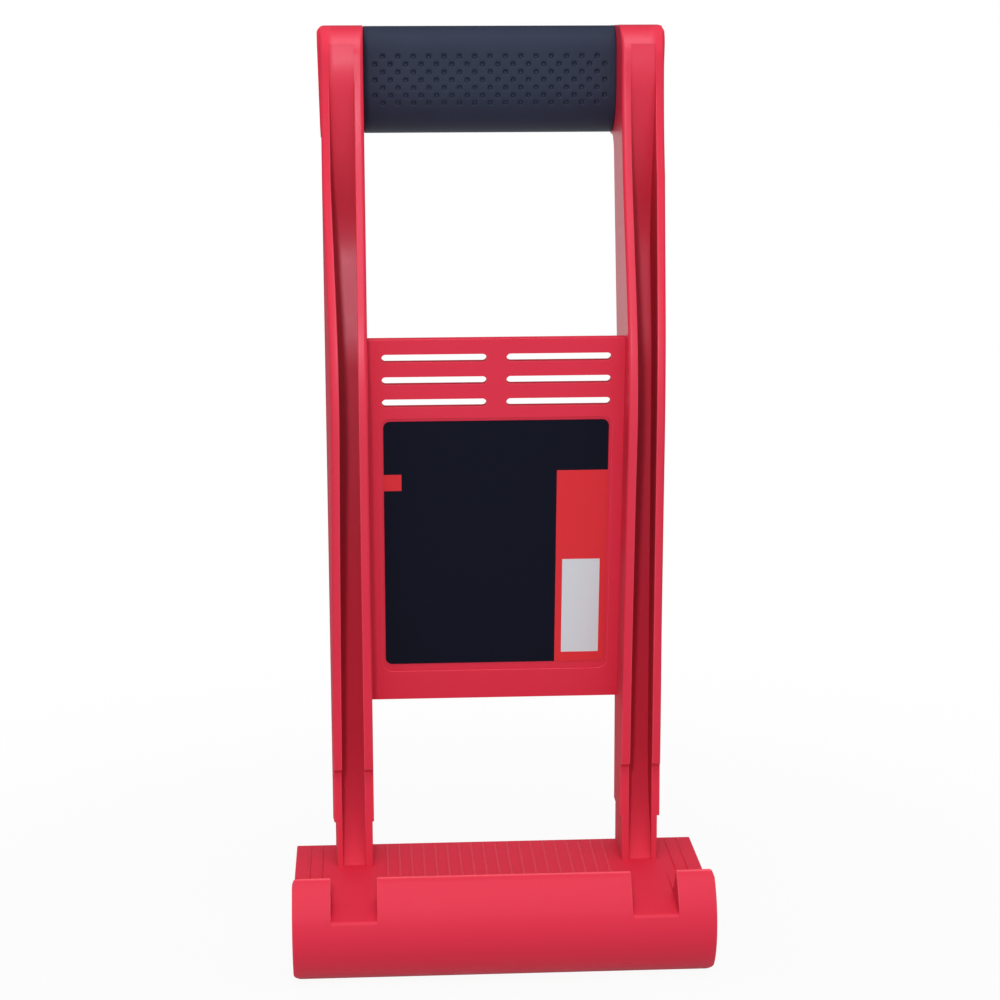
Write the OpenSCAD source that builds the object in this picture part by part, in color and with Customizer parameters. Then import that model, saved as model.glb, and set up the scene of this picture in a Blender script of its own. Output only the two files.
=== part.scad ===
// Panel carrier: a hand-held sheet carrier moulded in red plastic.
// Two channel-section uprights join a soft-gripped handle bar, a slotted centre panel
// and a ribbed tray whose rounded lip is notched in front of each leg.
// Millimetres. X runs right, Z up, and the front (lip side) faces -Y.
// Side outlines are lists of [reach, height, corner radius]: reach is measured forward
// from the rear edge of the tray, height upward from the tray floor.

/* [Overall] */
// Width of the tray from end to end
tray_w = 165; // [150:1:180]
// Height of the uprights above the tray floor
upright_h = 335.9; // [320:0.1:352]
// Clear width between the uprights, which is the length of the grip
gap_w = 100.5; // [92:0.5:106]

/* [Upright section] */
// Width of one upright across both flanges, behind the drafted front
upright_w = 16.65; // [15.5:0.05:18]
// Thickness of the flange beside the gap
inner_flange_t = 3.7; // [3:0.1:4.2]
// Thickness of the outer flange
outer_flange_t = 3.4; // [3:0.1:4]
// Thickness of webs, panel and pocket walls
wall_t = 3; // [2.5:0.1:3.5]
// Inward lean of the outer flange's drafted front, in degrees
outer_lean = 5; // [3:0.1:5.5]
// Forward reach where that draft starts
draft_reach = 20; // [16:0.5:24]
// Distance of the legs' rear in front of the tray's rear edge
leg_inset = 1.5; // [1:0.1:2.5]
// Depth of the web's front face from the rear of the legs
web_d = 6.5; // [5.5:0.5:8]

/* [Upright side outline] */
// Forward reach of the edge under the brow
brow_reach = 13.2; // [12:0.2:14.4]
// Corner radius of the brow
brow_r = 13.5; // [11:0.5:14]
// Radius of the outer top corner seen from the front
crown_r = 3.2; // [2:0.1:4]
// Forward creep of the front edge from the brow to the start of the swell
swell_creep = 1; // [0.6:0.1:1.6]
// Drop from the top to the corner where the front edge starts to swell forward
swell_drop = 44.7; // [43:0.1:47]
// Radius of the swell's hollow
swell_r = 165; // [150:1:175]
// Forward reach of the corner that the bulge rounds off
bulge_reach = 47.75; // [45.5:0.25:49]
// Height of that corner above the tray floor
bulge_h = 203.7; // [198:0.1:209]
// Radius of the bulge
bulge_r = 106; // [95:1:110]
// Forward reach of the slow hollow below the panel
shin_reach = 33; // [32:0.1:34]
// Height of that hollow above the tray floor
shin_h = 108.7; // [105:0.1:112]
// Radius of that hollow
shin_r = 1450; // [1300:10:1500]
// Forward reach of the edge just above the ankle step
ankle_reach = 27.9; // [27:0.1:29]
// Height of the ankle step above the tray floor
ankle_h = 41.4; // [37:0.2:45]
// Set-back of the leg's front edge at the ankle step
ankle_back = 3.6; // [2.6:0.1:4.4]
// Height taken by the slanted ankle step
ankle_fall = 2.2; // [1.5:0.1:3]
// Forward reach of the leg's front edge at the tray floor
toe_reach = 26.8; // [26:0.1:27.6]
// Height where the rear edge bends back toward the handle
bend_h = 208.6; // [203:0.2:214]
// Radius of that bend
bend_r = 80; // [65:1:95]
// Backward lean of the rear edge above the bend, in degrees
bend_lean = 11.6; // [10.5:0.1:12.5]

/* [Web] */
// Drop from the top to the head of the front channel
channel_drop = 7.5; // [6.5:0.5:9]
// Set-back of that head behind the edge under the brow
head_back = 1.2; // [1:0.1:1.6]
// Drop from the top to the corner where the web turns back from the brow
head_drop = 18; // [16.5:0.5:20]
// Forward creep of that corner past the edge under the brow
head_creep = 0.5; // [0.2:0.1:0.8]
// Radius of that turn
head_r = 40; // [34:1:44]
// Drop from the top to the crest where the web turns forward
crest_drop = 80.7; // [76:0.1:86]
// Radius of the web at the crest
crest_r = 60; // [40:1:75]
// Set-back of the web behind the leg's front edge at the tray floor
toe_back = 1.5; // [1.2:0.1:2.2]
// Height of the corner where the web sweeps forward to the toe
sweep_h = 20; // [17:0.5:23]
// Radius of that sweep
sweep_r = 66; // [55:1:70]
// Side step that narrows the foot on its outer flank
foot_step = 1; // [0.7:0.1:1.4]
// Side step that narrows the foot on its inner flank
foot_inset = 0.6; // [0.4:0.1:1]
// Height of the narrowed foot
foot_h = 18.4; // [15:0.2:22]

/* [Handle] */
// Depth of the grip, front to rear
grip_d = 38; // [36:0.5:40]
// Height of the grip
grip_h = 42.4; // [40:0.1:43.5]
// Distance of the grip's front behind the tray's rear edge
grip_back = 6.5; // [5:0.5:8]
// Corner radius along the grip's top edges
grip_top_r = 10; // [8:0.5:12]
// Gap between the top of the grip and the top of the uprights
grip_inset = 0.15; // [0.1:0.05:0.5]
// Thickness of the soft grip over the bar
grip_t = 3; // [2.4:0.1:3.6]
// Wall of the hollow bar inside the grip
bar_t = 3.2; // [2.6:0.1:3.8]
// Width of the keys that lock the grip on the bar
key_w = 6; // [4:0.5:8]
// Height of those keys
key_h = 1.2; // [0.8:0.1:1.5]
// Margin of the upright's end round the grip
end_margin = 1; // [0.6:0.1:1.6]
// Radius of the hollow corner under the upright's end
neck_r = 8; // [6:0.5:10]
// Thickness of the raised pad on the outside of the upright's end, at its lower edge
pad_t = 0.5; // [0.4:0.1:0.8]
// Outward lean of that pad, in degrees
pad_lean = 1.2; // [0.8:0.1:1.6]
// Forward reach of that pad
pad_reach = 4; // [2:0.5:6]
// Corner radius of the pad's front edge
pad_r = 9; // [7:0.5:11]

/* [Centre panel] */
// Height of the panel along its slope
panel_l = 152.8; // [148:0.1:157]
// Forward tilt of the panel's top edge, in degrees
panel_tilt = 8.8; // [8:0.1:9.4]
// Height of the panel's lower edge above the tray floor
panel_h = 65.3; // [62:0.1:69]
// Forward reach of the panel's lower edge
panel_reach = 9.5; // [8.5:0.1:11]
// Length of one slot
slot_l = 41; // [36:0.5:42]
// Height of one slot
slot_h = 3.2; // [2.4:0.1:3.6]
// Spacing of the slots along the slope
slot_pitch = 9.1; // [8:0.05:9.4]
// Distance from the panel's top edge to the first slot
slot_drop = 7.7; // [7:0.1:9.5]
// Solid width between the two columns of slots
slot_gap = 7.8; // [6:0.1:9]
// Width of the label
label_w = 89; // [80:0.5:90]
// Height of the label
label_l = 103.6; // [98:0.2:105]
// Thickness of the label
label_t = 0.3; // [0.2:0.05:0.35]
// Corner radius of the label
label_r = 2.6; // [2:0.1:3.5]
// Distance from the panel's lower edge to the label
label_lift = 15.7; // [13:0.1:17]
// Depth of the label's recess
recess_d = 0.5; // [0.4:0.05:0.7]
// Margin of the recess round the label
recess_margin = 1.2; // [0.8:0.1:1.5]
// Margin of the recess below the label
recess_low = 3.2; // [2:0.1:4]

/* [Tray] */
// Forward reach of the lip's roundest point
lip_reach = 80.2; // [76:0.2:84]
// Radius of the lip's round front
lip_r = 24; // [22.5:0.5:26]
// Height of the lip above the tray floor
lip_h = 9.9; // [9:0.1:11]
// Height of the tray floor above the ground
base_h = 30.3; // [28:0.1:32]
// Width of the lip's flat top
lip_top_w = 3.7; // [3:0.1:4.4]
// Run of the slanted inner face of the lip
lip_slope = 4.5; // [3.5:0.1:5.5]
// Radius of the lip's inner top edge
lip_edge_r = 1.5; // [1:0.1:2]
// Radius that rounds the lip's top into its round front
lip_crown_r = 5; // [4:0.5:6]
// Radius of the lip's upper end corners
lip_top_r = 2; // [1.5:0.1:3]
// Radius of the skirt's lower end corners
lip_foot_r = 3.2; // [2.5:0.1:4]
// Thickness of the tray floor and of the round front
tray_t = 4; // [3.4:0.1:4.6]
// Side clearance between a leg and the notch in front of it
notch_gap = 0.6; // [0.4:0.1:1]
// Forward reach of the corner that the notch floor rounds off as it falls
fall_reach = 55; // [53:0.5:57]
// Depth of the notch floor below the tray floor at the lip
fall_h = 4.1; // [3.5:0.1:4.5]
// Radius of that rounded fall
fall_r = 270; // [250:5:280]
// Radius of the sill where the notch floor meets the round front
sill_r = 2; // [1.5:0.1:2.5]
// Spacing of the beads on the tray floor
bead_pitch = 5; // [4.6:0.1:5.4]
// Radius of one bead
bead_r = 1.15; // [0.9:0.05:1.4]
// Height of one bead above the floor
bead_h = 0.2; // [0.15:0.05:0.3]
// Distance of the beads from the tray's rear edge
bead_inset = 1.2; // [0.8:0.1:2]
// Distance of the last bead from the tray's end
end_bead_inset = 5.7; // [5:0.1:6.4]

/* [Hidden] */
$fn = 64;
// Segments in one rounded corner of an outline
corner_steps = 10;
// Overrun of every cut past the face it opens
cut_over = 2;
// Angle on the round front where the wall of the hollow leaves it
skirt_a = -45;
// Places of the ribs between the notches, as shares of a notch's distance from the middle
rib_shares = [0, 0.5];
red = [0.82, 0.09, 0.16];
charcoal = [0.12, 0.13, 0.17];
black = [0.06, 0.07, 0.09];

inner_x = gap_w / 2;
outer_x = inner_x + upright_w;
channel_x = inner_x + inner_flange_t;
lean_share = tan(outer_lean);
lip_mid_z = (lip_h - base_h) / 2;
lip_mid_f = lip_reach - lip_r;
lip_half_a = asin((lip_h + base_h) / 2 / lip_r);
lip_crown_f = lip_mid_f + lip_r * cos(lip_half_a);
lip_crown_a = asin((lip_h - lip_crown_r - lip_mid_z) / (lip_r - lip_crown_r));
foot_d = lip_crown_f;
rear_y = foot_d / 2;
notch_in = inner_x - notch_gap;
notch_out = outer_x + notch_gap;
grip_top = upright_h - grip_inset;
grip_bottom = grip_top - grip_h;
grip_low_r = grip_d / 2;
end_back = grip_back + grip_d + end_margin;
end_low = grip_bottom - end_margin;
end_w = upright_w + pad_t + (upright_h - end_low) * tan(pad_lean);
neck_reach = leg_inset - (end_low - bend_h) * tan(bend_lean);
crest_h = upright_h - crest_drop;
crest_reach = leg_inset + web_d / cos(bend_lean) - (crest_h - bend_h) * tan(bend_lean);
web_reach = leg_inset + web_d;
web_bend_h = bend_h + web_d * tan(bend_lean / 2);
recess_w = label_w + 2 * recess_margin;
recess_l = label_l + recess_low + recess_margin;

// Unit vector of v
function unit(v) = v / norm(v);

// Points of one rounded corner at c between its neighbours a and b
function corner(a, c, b, r) =
    let (
        u = unit(a - c),
        v = unit(b - c),
        half = acos(u * v) / 2,
        mid = c + unit(u + v) * r / sin(half),
        from = c + u * r / tan(half) - mid,
        to = c + v * r / tan(half) - mid,
        start = atan2(from[1], from[0]),
        turn = atan2(to[1], to[0]) - start,
        sweep = turn > 180 ? turn - 360 : turn < -180 ? turn + 360 : turn
    )
    [for (i = [0:corner_steps])
        let (g = start + sweep * i / corner_steps)
        mid + r * [cos(g), sin(g)]];

// Outline of [reach, height, radius] corners as points in the Y-Z plane
function outline(list) =
    let (n = len(list), p = [for (c = list) [-c[0], c[1]]])
    [for (i = [0:n - 1]) each list[i][2] > 0
        ? corner(p[(i + n - 1) % n], p[i], p[(i + 1) % n], list[i][2])
        : [p[i]]];

// Outline of the whole upright seen from the side
function upright_side() = outline([
    [brow_reach, upright_h, brow_r],
    [brow_reach + swell_creep, upright_h - swell_drop, swell_r],
    [bulge_reach, bulge_h, bulge_r],
    [shin_reach, shin_h, shin_r],
    [ankle_reach, ankle_h, 0],
    [ankle_reach - ankle_back, ankle_h - ankle_fall, 0],
    [toe_reach, 0, 0],
    [leg_inset, 0, 0],
    [leg_inset, bend_h, bend_r],
    [neck_reach, end_low, neck_r],
    [-end_back, end_low, grip_low_r + end_margin],
    [-end_back, upright_h, grip_top_r + end_margin]
]);

// Outline of the channel in front of the web
function front_channel_side() = outline([
    [brow_reach - head_back, upright_h - channel_drop, 0],
    [brow_reach + head_creep, upright_h - head_drop, head_r],
    [crest_reach, crest_h, crest_r],
    [web_reach, web_bend_h, bend_r + web_d],
    [web_reach, sweep_h, sweep_r],
    [toe_reach - toe_back, 0, 0],
    [toe_reach - toe_back, -cut_over, 0],
    [lip_reach, -cut_over, 0],
    [lip_reach, upright_h - channel_drop, 0]
]);

// Outline of the pocket behind the web, one wall inside the front
function rear_pocket_side() = outline([
    [brow_reach - wall_t, upright_h - wall_t, brow_r - wall_t],
    [crest_reach - wall_t, crest_h, crest_r],
    [web_reach - wall_t, web_bend_h, bend_r + web_d - wall_t],
    [web_reach - wall_t, sweep_h, sweep_r],
    [toe_reach - toe_back - wall_t, 0, 0],
    [toe_reach - toe_back - wall_t, -cut_over, 0],
    [-end_back - cut_over, -cut_over, 0],
    [-end_back - cut_over, upright_h - wall_t, 0]
]);

// Outline of the grip, or of the bar inside it when t is taken off all round
function grip_side(t) = outline([
    [-grip_back - t, grip_top - t, grip_top_r - t],
    [-grip_back - t, grip_bottom + t, grip_low_r - t],
    [-grip_back - grip_d + t, grip_bottom + t, grip_low_r - t],
    [-grip_back - grip_d + t, grip_top - t, grip_top_r - t]
]);

// Round front of the tray at radius r, from angle a down to angle b
function lip_arc(r, a, b) = [for (i = [0:2 * corner_steps])
    let (g = a + (b - a) * i / (2 * corner_steps))
    [-lip_mid_f - r * cos(g), lip_mid_z + r * sin(g)]];

// Seats a model built on the tray's rear edge and floor on the ground
module seated() {
    translate([0, rear_y, base_h]) children();
}

// Extrudes a side outline across X between x0 and x1
module across(x0, x1) {
    translate([x0, 0, 0]) rotate([90, 0, 90]) linear_extrude(x1 - x0) children();
}

// Outline of the raised pad on the outside of the upright's end
function pad_side() = outline([
    [pad_reach, upright_h, pad_r],
    [pad_reach, end_low, pad_r],
    [-end_back, end_low, grip_low_r + end_margin],
    [-end_back, upright_h, grip_top_r + end_margin]
]);

// Upright block from X = x0 to X = x1, where the outer wall leans in past the draft line
module drafted_block(x0, x1, z0, z1) {
    rear = end_back + cut_over;
    translate([0, 0, z0]) linear_extrude(z1 - z0) polygon([
        [x0, -lip_reach],
        [x1 - (lip_reach - draft_reach) * lean_share, -lip_reach],
        [x1, -draft_reach],
        [x1, rear],
        [x0, rear]
    ]);
}

// Front view of one upright with its outer top corner rounded
module crowned_block() {
    translate([inner_x, end_back + cut_over, 0]) rotate([90, 0, 0])
        linear_extrude(lip_reach + end_back + 2 * cut_over) union() {
            square([end_w, upright_h - crown_r]);
            square([end_w - crown_r, upright_h]);
            translate([end_w - crown_r, upright_h - crown_r]) circle(crown_r);
        }
}

// Upright on the right, standing on the tray floor
module upright_shape() {
    intersection() {
        flanged_shape();
        crowned_block();
    }
}

// That upright before its top corner is rounded: flanges, web and the raised pad at the end
module flanged_shape() {
    difference() {
        intersection() {
            across(inner_x, outer_x) polygon(upright_side());
            drafted_block(inner_x, outer_x, 0, upright_h);
        }
        intersection() {
            union() {
                across(channel_x, outer_x) polygon(front_channel_side());
                across(channel_x, outer_x) polygon(rear_pocket_side());
            }
            drafted_block(channel_x, outer_x - outer_flange_t, -cut_over, upright_h);
        }
        translate([inner_x - cut_over, -lip_reach, -cut_over])
            cube([cut_over + foot_inset, lip_reach + end_back, cut_over + foot_h]);
        difference() {
            drafted_block(channel_x, outer_x + cut_over, -cut_over, foot_h);
            drafted_block(inner_x, outer_x - foot_step, -2 * cut_over, foot_h + cut_over);
        }
    }
    intersection() {
        across(outer_x, outer_x + 2 * pad_t + cut_over) polygon(pad_side());
        translate([outer_x + pad_t, -pad_reach - cut_over, end_low]) rotate([0, pad_lean, 0])
            translate([-upright_w, 0, -cut_over])
                cube([upright_w, end_back + pad_reach + 2 * cut_over, upright_h - end_low + 2 * cut_over]);
    }
}

module right_upright() {
    color(red) seated() upright_shape();
}

module left_upright() {
    color(red) seated() mirror([1, 0, 0]) upright_shape();
}

// Bar under the grip with its locking keys, solid, longer by extra at each end
module bar_solid(extra) {
    half = inner_x + extra;
    mid = grip_back + grip_d / 2;
    across(-half, half) polygon(grip_side(grip_t));
    translate([-half, grip_back + grip_t - key_h, grip_top - grip_h / 2 - key_w / 2])
        cube([2 * half, grip_d - 2 * grip_t + 2 * key_h, key_w]);
    translate([-half, mid - key_w / 2, grip_bottom + grip_t - key_h])
        cube([2 * half, key_w, grip_h - 2 * grip_t + 2 * key_h]);
}

module handle_bar() {
    color(red) seated() difference() {
        bar_solid(0);
        across(-inner_x - cut_over, inner_x + cut_over) polygon(grip_side(grip_t + bar_t));
    }
}

module grip() {
    color(charcoal) seated() difference() {
        across(-inner_x, inner_x) polygon(grip_side(0));
        bar_solid(cut_over);
    }
}

// Places a model drawn on the panel's front face: X across, Z up the slope, Y into the panel
module on_panel() {
    seated() translate([0, -panel_reach, panel_h]) rotate([panel_tilt, 0, 0]) children();
}

// Plate with rounded corners, w by l, from depth y0 to y1, standing on Z = 0
module rounded_plate(w, l, r, y0, y1) {
    translate([0, y1, 0]) rotate([90, 0, 0]) linear_extrude(y1 - y0) union() {
        translate([-w / 2 + r, 0]) square([w - 2 * r, l]);
        translate([-w / 2, r]) square([w, l - 2 * r]);
        for (x = [-1, 1], z = [r, l - r]) translate([x * (w / 2 - r), z]) circle(r);
    }
}

// One slot with round ends, centred on X = 0 and Z = 0
module slot() {
    flat = slot_l - slot_h;
    translate([0, wall_t + cut_over, 0]) rotate([90, 0, 0]) linear_extrude(wall_t + 2 * cut_over) union() {
        translate([-flat / 2, -slot_h / 2]) square([flat, slot_h]);
        for (x = [-1, 1]) translate([x * flat / 2, 0]) circle(slot_h / 2);
    }
}

module centre_panel() {
    color(red) on_panel() difference() {
        translate([-inner_x, 0, 0]) cube([gap_w, wall_t, panel_l]);
        for (side = [-1, 1], row = [0:2])
            translate([side * (slot_gap + slot_l) / 2, 0, panel_l - slot_drop - row * slot_pitch]) slot();
        translate([0, 0, label_lift - recess_low])
            rounded_plate(recess_w, recess_l, label_r + recess_margin, -cut_over, recess_d);
    }
}

module label() {
    color(black) on_panel() translate([0, 0, label_lift])
        rounded_plate(label_w, label_l, label_r, recess_d - label_t, recess_d);
}

// Tray section: floor, slanted lip and round front, filled down to the ground
function tray_side() =
    let (
        lip_foot = [-lip_crown_f + lip_top_w + lip_slope, 0],
        lip_edge = [-lip_crown_f + lip_top_w, lip_h],
        crown = [-lip_mid_f - (lip_r - lip_crown_r) * cos(lip_crown_a), lip_h - lip_crown_r]
    )
    concat(
        [[0, -base_h], [0, 0], lip_foot],
        corner(lip_foot, lip_edge, [-lip_crown_f, lip_h], lip_edge_r),
        [for (i = [0:corner_steps - 1])
            let (g = 90 + (lip_crown_a - 90) * i / corner_steps)
            crown + lip_crown_r * [-cos(g), sin(g)]],
        lip_arc(lip_r, lip_crown_a, -lip_half_a)
    );

// Hollow under the tray floor between two ribs, its ceiling falling forward by fall
function tray_hollow_side(fall) =
    let (
        inner_r = lip_r - tray_t,
        wall = lip_arc(inner_r, asin((-tray_t - fall - lip_mid_z) / inner_r), skirt_a),
        last = wall[len(wall) - 1]
    )
    concat(
        [[-wall_t, -base_h - cut_over], [-wall_t, -tray_t]],
        wall,
        [last + (base_h + cut_over + last[1]) * [1, -1]]
    );

// Outline of the notch above its rounded, falling floor and rounded sill
function notch_side() =
    let (
        front = -lip_reach - cut_over,
        bend = corner([0, 0], [-fall_reach, 0], [front, -fall_h], fall_r),
        fall_a = atan(fall_h / (lip_reach + cut_over - fall_reach)),
        along = [-cos(fall_a), -sin(fall_a)],
        start = [-fall_reach, 0] - sill_r * [-sin(fall_a), cos(fall_a)],
        lip_mid = [-lip_mid_f, lip_mid_z],
        gap = start - lip_mid,
        run = sqrt(pow(gap * along, 2) - gap * gap + pow(lip_r - sill_r, 2)) - gap * along,
        mid = start + run * along,
        last_a = atan2(mid[1] - lip_mid_z, mid[0] + lip_mid_f),
        sill = [for (i = [0:corner_steps])
            let (g = 90 + fall_a + (last_a - 90 - fall_a) * i / corner_steps)
            mid + sill_r * [cos(g), sin(g)]]
    )
    concat(
        [[bend[0][0], lip_h + cut_over]],
        bend,
        sill,
        [[front, sill[corner_steps][1]], [front, lip_h + cut_over]]
    );

// Rib centres on the right half of the tray, from the middle to the end wall
rib_xs = concat(
    [for (s = rib_shares) s * notch_in],
    [notch_in - wall_t / 2, notch_out + wall_t / 2, tray_w / 2 - wall_t / 2]
);

module tray() {
    color(red) seated() {
        difference() {
            intersection() {
                across(-tray_w / 2, tray_w / 2) polygon(tray_side());
                tray_front();
            }
            for (side = [0, 1]) mirror([side, 0, 0]) {
                for (i = [0:len(rib_xs) - 2]) {
                    under_notch = rib_xs[i] < notch_in && rib_xs[i + 1] > notch_out;
                    across(rib_xs[i] + wall_t / 2, rib_xs[i + 1] - wall_t / 2)
                        polygon(tray_hollow_side(under_notch ? fall_h : 0));
                }
                across(notch_in, notch_out) polygon(notch_side());
            }
        }
        beads();
    }
}

// Front view of the tray, with the lip's rounded end corners
module tray_front() {
    half = tray_w / 2;
    translate([0, cut_over, 0]) rotate([90, 0, 0]) linear_extrude(lip_reach + 2 * cut_over) union() {
        translate([-half + lip_top_r, lip_h - lip_top_r]) square([tray_w - 2 * lip_top_r, lip_top_r]);
        translate([-half, -base_h + lip_foot_r]) square([tray_w, base_h + lip_h - lip_foot_r - lip_top_r]);
        translate([-half + lip_foot_r, -base_h]) square([tray_w - 2 * lip_foot_r, lip_foot_r]);
        for (side = [-1, 1]) {
            translate([side * (half - lip_top_r), lip_h - lip_top_r]) circle(lip_top_r);
            translate([side * (half - lip_foot_r), -base_h + lip_foot_r]) circle(lip_foot_r);
        }
    }
}

// Low round beads along the tray floor, left out at the legs and their notches
module beads() {
    last = floor((notch_in - bead_r) / bead_pitch);
    end_x = tray_w / 2 - end_bead_inset;
    for (i = [-last:last]) bead(i * bead_pitch);
    for (side = [-1, 1], i = [0, 1]) bead(side * (end_x - i * bead_pitch));
}

// One bead at X = x
module bead(x) {
    run = lip_crown_f - lip_top_w - lip_slope - bead_inset;
    translate([x, -bead_inset, 0]) intersection() {
        translate([0, 0, bead_h - bead_r]) rotate([90, 0, 0]) cylinder(h = run, r = bead_r);
        translate([-bead_r, -run, -bead_h]) cube([2 * bead_r, run, 2 * bead_h + bead_r]);
    }
}

left_upright();
right_upright();
handle_bar();
grip();
centre_panel();
label();
tray();
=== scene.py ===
"""Looks of the panel carrier: a red moulded frame, a dimpled soft grip and a printed label.

Lengths are millimetres where a name ends in _mm and metres elsewhere; X is right, Z up, -Y the front.
"""

import math

import bmesh
import bpy
from mathutils import Euler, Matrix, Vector


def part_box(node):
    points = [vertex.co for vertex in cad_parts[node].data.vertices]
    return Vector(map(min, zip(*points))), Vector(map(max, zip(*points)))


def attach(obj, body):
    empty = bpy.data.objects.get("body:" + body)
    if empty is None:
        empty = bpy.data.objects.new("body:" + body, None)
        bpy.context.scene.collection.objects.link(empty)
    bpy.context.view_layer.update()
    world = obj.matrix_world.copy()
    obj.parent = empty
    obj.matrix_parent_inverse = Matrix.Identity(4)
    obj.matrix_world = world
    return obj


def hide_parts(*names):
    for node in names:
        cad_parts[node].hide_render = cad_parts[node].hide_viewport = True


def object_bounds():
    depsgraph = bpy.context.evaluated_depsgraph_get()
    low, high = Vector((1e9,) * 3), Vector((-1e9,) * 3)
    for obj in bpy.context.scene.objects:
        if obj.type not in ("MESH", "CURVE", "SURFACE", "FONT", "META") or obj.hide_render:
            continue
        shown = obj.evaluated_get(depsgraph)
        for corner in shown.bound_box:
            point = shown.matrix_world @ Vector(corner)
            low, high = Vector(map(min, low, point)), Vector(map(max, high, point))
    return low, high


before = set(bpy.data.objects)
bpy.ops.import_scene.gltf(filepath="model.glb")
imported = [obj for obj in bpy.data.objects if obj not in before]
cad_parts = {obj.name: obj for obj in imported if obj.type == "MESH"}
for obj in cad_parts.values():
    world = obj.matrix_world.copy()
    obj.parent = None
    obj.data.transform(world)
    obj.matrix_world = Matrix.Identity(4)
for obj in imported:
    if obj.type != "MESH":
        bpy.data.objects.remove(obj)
cad_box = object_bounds()

MM = 0.001
BODY = "root"

# Camera, from the photograph's vanishing points and outline; the picture is square
CAMERA_PLACE_MM = (-51.18, -889.8, 358.5)
CAMERA_TURN_DEG = (78.868, 0.186, -3.387)
FOCAL_PX = 2312.9
PICTURE_PX = 1000
SENSOR_W_MM = 36.0
CLIP_START_MM = 10.0

# Cleaning a CAD mesh: points within the weld are one, edges flatter than FLAT_DEG go, an edge within the
# slack of a plane lies on it, and places are the same to so many digits of a metre
WELD_MM = 0.002
FLAT_DEG = 0.7
PLANE_SLACK_MM = 0.05
PLACE_DIGITS = 6

# Moulded edges: corners sharper than SHARP_DEG are rounded, most of them by EDGE_MM
SHARP_DEG = 32.0
EDGE_MM = 0.45
WIDEST_EDGE_MM = 3.0
EDGE_STEPS = 3
NORMAL_WEIGHT = 80
# Material place that marks the rounded faces until their paler edges, partly wear and partly a painted
# highlight, are noted
ROUNDED = 1
# Finer edges on the panel, and the finest on the uprights' cheeks, outward of CHEEK_MM, and round the slots,
# both down to their drop below the top
FINE_EDGE_MM = 0.22
FINEST_EDGE_MM = 0.1
CHEEK_MM = 66.0
CHEEK_DROP_MM = 53.0
SLOT_INSET_MM = 3.0
SLOTS_DROP_MM = 31.5
# Height below which the tray's underside stays sharp
UNDER_MM = 0.4

# Front of an upright: radius of the round corners beside its flanks, the lines that shape each, and the
# heights where the radius starts, is full, fades and ends
FRONT_R_MM = 1.4
FRONT_CUTS = 6
FRONT_HEIGHTS_MM = (95.0, 125.0, 361.0, 365.4)
# How far back the front reaches, below its crown and in it, and the brow that keeps its CAD edges
FRONT_REAR_MM = 24.0
CROWN_REAR_MM = 35.0
CROWN_DROP_MM = 14.0
HEAD_DROP_MM = 26.0
# A flank's least turn to the side, the width of the inner flange, and the least step in a table of heights
WALL_TURN = 0.5
FLANGE_W_MM = 6.0
LEAST_STEP = 1e-9

# Tray floor: what counts as a bead's top, how much taller the beads grow, more on the outer pairs, and how
# far the notches reach below the floor
BEAD_TOP_MM = 0.3
BEAD_LIFT = 3.0
END_BEAD_LIFT = 4.5
END_BEADS_MM = 70.0
NOTCH_FALL_MM = 5.0
# Lip: its round front, the CAD crown and the crest drawn from it, and the foot of its inner slope
LIP_R_MM = 24.0
LIP_MIDDLE_MM = (-21.54, 20.4)
CREST_START_MM = 39.17
CREST_CAD_MM = 40.2
CREST_MM = 41.1
CREST_SPLIT_MM = -32.5
LIP_FOOT_MM = -26.46
# Rows this near the crest join it, except on the rounded ends beyond LIP_END_MM
CREST_JOIN_MM = 0.8
CREST_WELD_MM = 0.02
LIP_END_MM = 80.4

# Soft grip; its rim is the rounded edge at each end
GRIP_RIM_MM = 0.5
RIM_SHARP_DEG = 60.0
GRIP_TOP_R_MM = 10.0
GRIP_LOW_R_MM = 19.0
GRIP_WALL_MM = 2.9
SECTION_POINTS = 360
SMOOTH_ROW_MM = 1.4
SLEEVE_WELD_MM = 0.02
# Dimples; each ring has its share of the radius and of the depth, and the floor's middle sits off centre and
# carries a painted glint
GRIP_COLUMNS = 33
GRIP_ROWS = 7
ROW_PITCH_MM = 3.07
FRONT_ROWS_DROP_MM = 10.4
DIMPLE_R_MM = 0.98
DIMPLE_DEPTH_MM = 1.05
DIMPLE_RINGS = ((1.12, 0.0), (1.0, 0.12), (0.82, 0.66), (0.52, 0.96))
DIMPLE_SAG = 0.3
DIMPLE_SIDES = 12

# Printed label, measured down from its top edge and across from the middle
PANEL_TILT_DEG = 8.8
TAB_W_MM = 7.0
TAB_TOP_MM = 22.0
TAB_LOW_MM = 28.8
BLOCK_LEFT_MM = 24.2
BLOCK_TOP_MM = 21.0
PLATE_LEFT_MM = 26.9
PLATE_RIGHT_MM = 42.0
PLATE_TOP_MM = 58.9
PLATE_LOW_MM = 99.5

# Floor and light: reach in metres, where the floor fades to white, and how white it shows
FLOOR_R = 6.0
FLOOR_SIDES = 96
FLOOR_FADE = (0.1, 0.5)
FLOOR_GLOW = 0.93
AMBIENT = 0.63
# Ceiling as gloss sees it: its share of white, and the rise between which it darkens
CEILING = 0.15
CEILING_RISE = (0.0, 0.12)
# Lamps: name, turn left of the front and rise in degrees, distance and size in metres, watts
LIGHTS = (
    ("key", 8.0, 20.0, 1.1, 0.06, 3.5),
    ("top", 0.0, 82.0, 1.5, 1.2, 3.6),
    ("high_front", 0.0, 62.0, 1.8, 1.2, 14.0),
)

# Painted highlights on the tray, pale lines along the lip's crest and the bead tops: heights of the crest and
# of the bead tops, and the beads' reach
CREST_HIGHLIGHT_MM = (40.35, 40.75)
BEAD_HIGHLIGHT_MM = (30.4, 30.52)
BEAD_START_MM = (-26.6, -26.3)
BEAD_MIDDLE_MM = (71.0, 70.0)
BEAD_HIGHLIGHT = 0.35
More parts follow.
